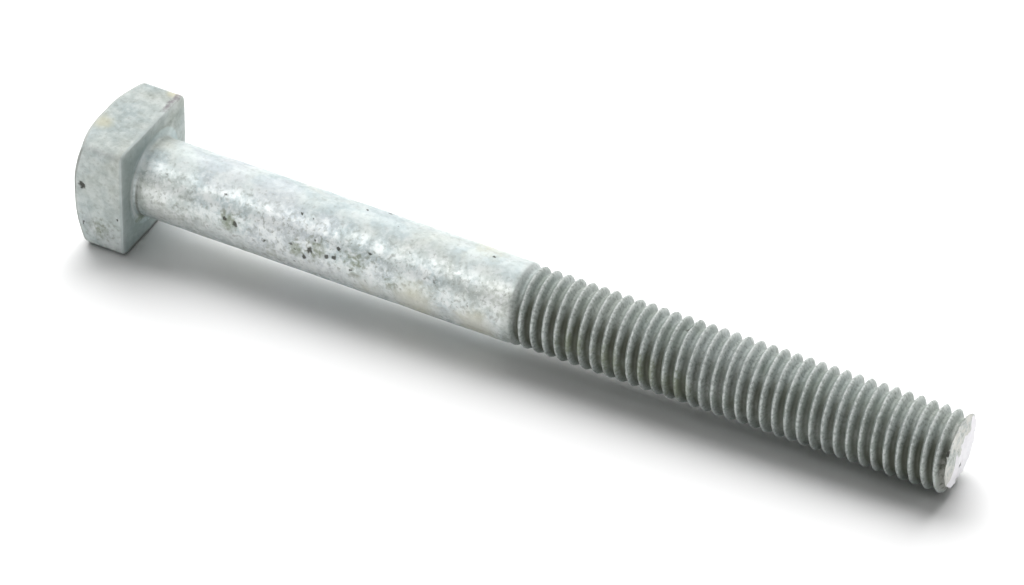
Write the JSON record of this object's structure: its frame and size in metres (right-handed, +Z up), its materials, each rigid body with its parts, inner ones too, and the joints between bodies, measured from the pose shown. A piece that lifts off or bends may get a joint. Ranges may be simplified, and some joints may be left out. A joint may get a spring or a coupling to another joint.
{
  "type": "square head machine bolt",
  "caption": "Galvanised square head machine bolt: square forged head, plain round shank and a right-hand coarse thread, lying on its side.",
  "frame": {"origin": "on the surface the bolt lies on, under the middle of its bounding box", "axes": "+X from the head towards the thread tip, dipping 1.41 degrees below level as the bolt rests; +Z up; +Y to the left when looking from the head to the tip"},
  "size_m": [0.1422, 0.019, 0.0192],
  "materials": {
    "galvanised_steel": "hot-dip galvanised: dull mottled zinc grey, pitted, with pale dross and dark grime in the thread roots"
  },
  "bodies": {
    "root": {"square_head_bolt": "galvanised_steel"}
  },
  "joints": []
}
